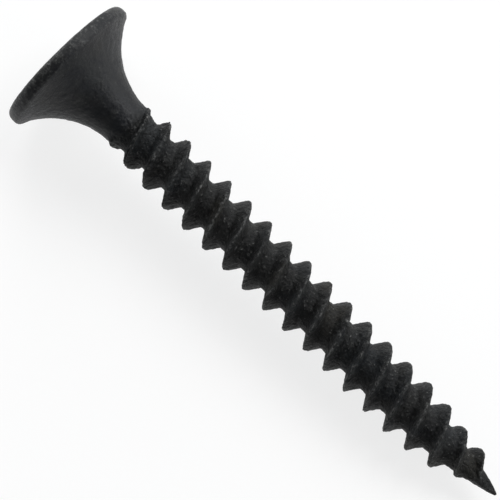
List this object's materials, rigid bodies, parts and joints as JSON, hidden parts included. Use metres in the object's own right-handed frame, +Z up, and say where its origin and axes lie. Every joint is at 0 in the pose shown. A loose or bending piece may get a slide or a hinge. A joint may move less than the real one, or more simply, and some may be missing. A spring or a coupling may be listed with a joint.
{
  "type": "wood screw",
  "caption": "Self-tapping screw with a trumpet-shaped countersunk head, cross recess, twin-start right-hand thread and a sharp point, in matt black phosphated steel.",
  "frame": {"origin": "centre of the head's flat face, on the screw's axis", "axes": "+X along the screw's axis, out of the head's face, so the tip is at x = -32 mm; +Z up, with the screw lying level; one recess wing points 32 degrees above +Y"},
  "size_m": [0.032, 0.0082, 0.0082],
  "materials": {
    "phosphated_steel": "matt black phosphate, faintly mottled, rubbed lighter on the thread crests and the rim"
  },
  "bodies": {
    "root": {"head": "phosphated_steel", "shank": "phosphated_steel", "thread_one": "phosphated_steel", "thread_two": "phosphated_steel", "point": "phosphated_steel"}
  },
  "joints": []
}
